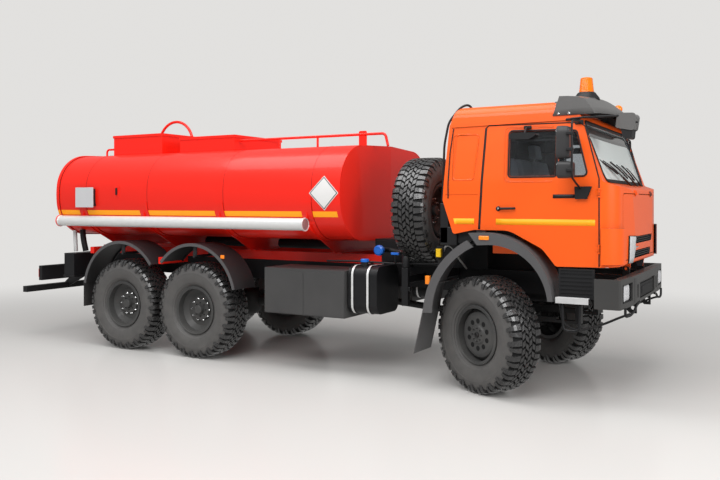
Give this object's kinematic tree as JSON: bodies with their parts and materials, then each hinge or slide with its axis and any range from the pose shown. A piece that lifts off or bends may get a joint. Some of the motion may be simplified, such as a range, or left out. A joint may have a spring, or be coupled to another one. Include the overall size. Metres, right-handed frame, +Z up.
{
  "type": "tanker truck",
  "caption": "Six-wheel-drive cab-over tanker truck with a rounded liquid tank, tilting cab with opening doors, steered front wheels and hinged tank hatch lids.",
  "frame": {"origin": "on the ground under the middle of the overall box", "axes": "+X forward along the truck, +Y to the driver's left, +Z up"},
  "size_m": [9.0236, 2.93, 3.412],
  "materials": {
    "tyre": "matt black rubber, worn grey on the tread",
    "orange": "gloss orange paint",
    "red": "gloss dark red paint",
    "frame_black": "satin black chassis paint",
    "frame_red": "gloss red paint",
    "steel": "bare steel",
    "tank_steel": "bright metal sheet",
    "iron": "painted casting",
    "wheel_grey": "satin grey wheel paint",
    "glass": "dark tinted glass",
    "bumper_grey": "satin dark grey paint",
    "black_plastic": "black moulding",
    "lamp_orange": "orange lens",
    "grey_plastic": "grey moulding",
    "cloth": "blue-grey woven cloth"
  },
  "bodies": {
    "chassis": {"chassis_frame": "frame_black", "leaf_springs": "iron", "front_axle": "iron", "middle_axle": "iron", "rear_axle": "iron", "engine_block": "iron", "drive_line": "iron", "tank": "red", "tank_cradle": "frame_red", "hose_tubes": "tank_steel", "handrails": "red", "chassis_fenders": "black_plastic", "rear_fenders": "black_plastic", "front_bumper": "bumper_grey", "entry_steps": "black_plastic", "toolbox": "bumper_grey", "fuel_tank": "frame_black", "spare_tyre": "tyre", "spare_rim": "wheel_grey", "spare_carrier": "frame_black", "rear_guard": "frame_black"},
    "knuckle_right": {"knuckle_right": "iron"},
    "knuckle_left": {"knuckle_left": "iron"},
    "tie_rod": {"tie_rod": "steel"},
    "wheel_front_right": {"front_right_tyre": "tyre", "front_right_rim": "wheel_grey"},
    "wheel_front_left": {"front_left_tyre": "tyre", "front_left_rim": "wheel_grey"},
    "wheel_middle_right": {"middle_right_tyre": "tyre", "middle_right_rim": "wheel_grey"},
    "wheel_middle_left": {"middle_left_tyre": "tyre", "middle_left_rim": "wheel_grey"},
    "wheel_rear_right": {"rear_right_tyre": "tyre", "rear_right_rim": "wheel_grey"},
    "wheel_rear_left": {"rear_left_tyre": "tyre", "rear_left_rim": "wheel_grey"},
    "cab": {"cab_shell": "orange", "cab_glass": "glass", "seats": "cloth", "dashboard": "grey_plastic", "roof_fairing": "bumper_grey", "beacons": "lamp_orange", "cab_fenders": "black_plastic"},
    "door_right": {"door_right": "orange", "door_glass_right": "glass", "mirror_right": "black_plastic"},
    "door_left": {"door_left": "orange", "door_glass_left": "glass", "mirror_left": "black_plastic"},
    "front_panel": {"front_panel": "orange"},
    "hatch_lid_rear": {"hatch_lid_rear": "red"},
    "hatch_lid_front": {"hatch_lid_front": "red"}
  },
  "joints": [
    {"name": "steer_right", "type": "hinge", "parent": "chassis", "child": "knuckle_right", "pos_m": [3.055, -0.82, 0.63], "axis": [0, 0, 1], "range_deg": [-9, 63]},
    {"name": "steer_left", "type": "hinge", "parent": "chassis", "child": "knuckle_left", "pos_m": [3.055, 0.82, 0.63], "axis": [0, 0, 1], "range_deg": [-9, 63]},
    {"name": "tie_rod_eye", "type": "hinge", "parent": "knuckle_right", "child": "tie_rod", "pos_m": [2.90353, -0.74282, 0.462], "axis": [0, 0, 1], "range_deg": [-63, 9]},
    {"name": "spin_front_right", "type": "hinge", "parent": "knuckle_right", "child": "wheel_front_right", "pos_m": [2.96193, -1.00266, 0.63], "axis": [0.454, 0.891, 0], "continuous": true},
    {"name": "spin_front_left", "type": "hinge", "parent": "knuckle_left", "child": "wheel_front_left", "pos_m": [3.14807, 1.00266, 0.63], "axis": [0.454, 0.891, 0], "continuous": true},
    {"name": "spin_middle_right", "type": "hinge", "parent": "chassis", "child": "wheel_middle_right", "pos_m": [-1.045, -1.025, 0.63], "axis": [0, 1, 0], "continuous": true},
    {"name": "spin_middle_left", "type": "hinge", "parent": "chassis", "child": "wheel_middle_left", "pos_m": [-1.045, 1.025, 0.63], "axis": [0, 1, 0], "continuous": true},
    {"name": "spin_rear_right", "type": "hinge", "parent": "chassis", "child": "wheel_rear_right", "pos_m": [-2.365, -1.025, 0.63], "axis": [0, 1, 0], "continuous": true},
    {"name": "spin_rear_left", "type": "hinge", "parent": "chassis", "child": "wheel_rear_left", "pos_m": [-2.365, 1.025, 0.63], "axis": [0, 1, 0], "continuous": true},
    {"name": "cab_tilt", "type": "hinge", "parent": "chassis", "child": "cab", "pos_m": [4.305, 0, 1.35], "axis": [0, 1, 0], "range_deg": [0, 45]},
    {"name": "door_right_hinge", "type": "hinge", "parent": "cab", "child": "door_right", "pos_m": [4.1875, -1.16, 2.1], "axis": [0, 0, 1], "range_deg": [0, 70]},
    {"name": "door_left_hinge", "type": "hinge", "parent": "cab", "child": "door_left", "pos_m": [4.1875, 1.16, 2.1], "axis": [0, 0, -1], "range_deg": [0, 70]},
    {"name": "front_panel_hinge", "type": "hinge", "parent": "cab", "child": "front_panel", "pos_m": [4.423, 0, 2.144], "axis": [0, -1, 0], "range_deg": [0, 70]},
    {"name": "hatch_rear_hinge", "type": "hinge", "parent": "chassis", "child": "hatch_lid_rear", "pos_m": [-3.267, 0, 3.045], "axis": [0, -1, 0], "range_deg": [0, 95]},
    {"name": "hatch_front_hinge", "type": "hinge", "parent": "chassis", "child": "hatch_lid_front", "pos_m": [-1.917, 0, 2.965], "axis": [0, -1, 0], "range_deg": [0, 95]}
  ],
  "couplings": [
    {"joint": "steer_left", "follows": "steer_right", "ratio": 1},
    {"joint": "tie_rod_eye", "follows": "steer_right", "ratio": -1}
  ]
}
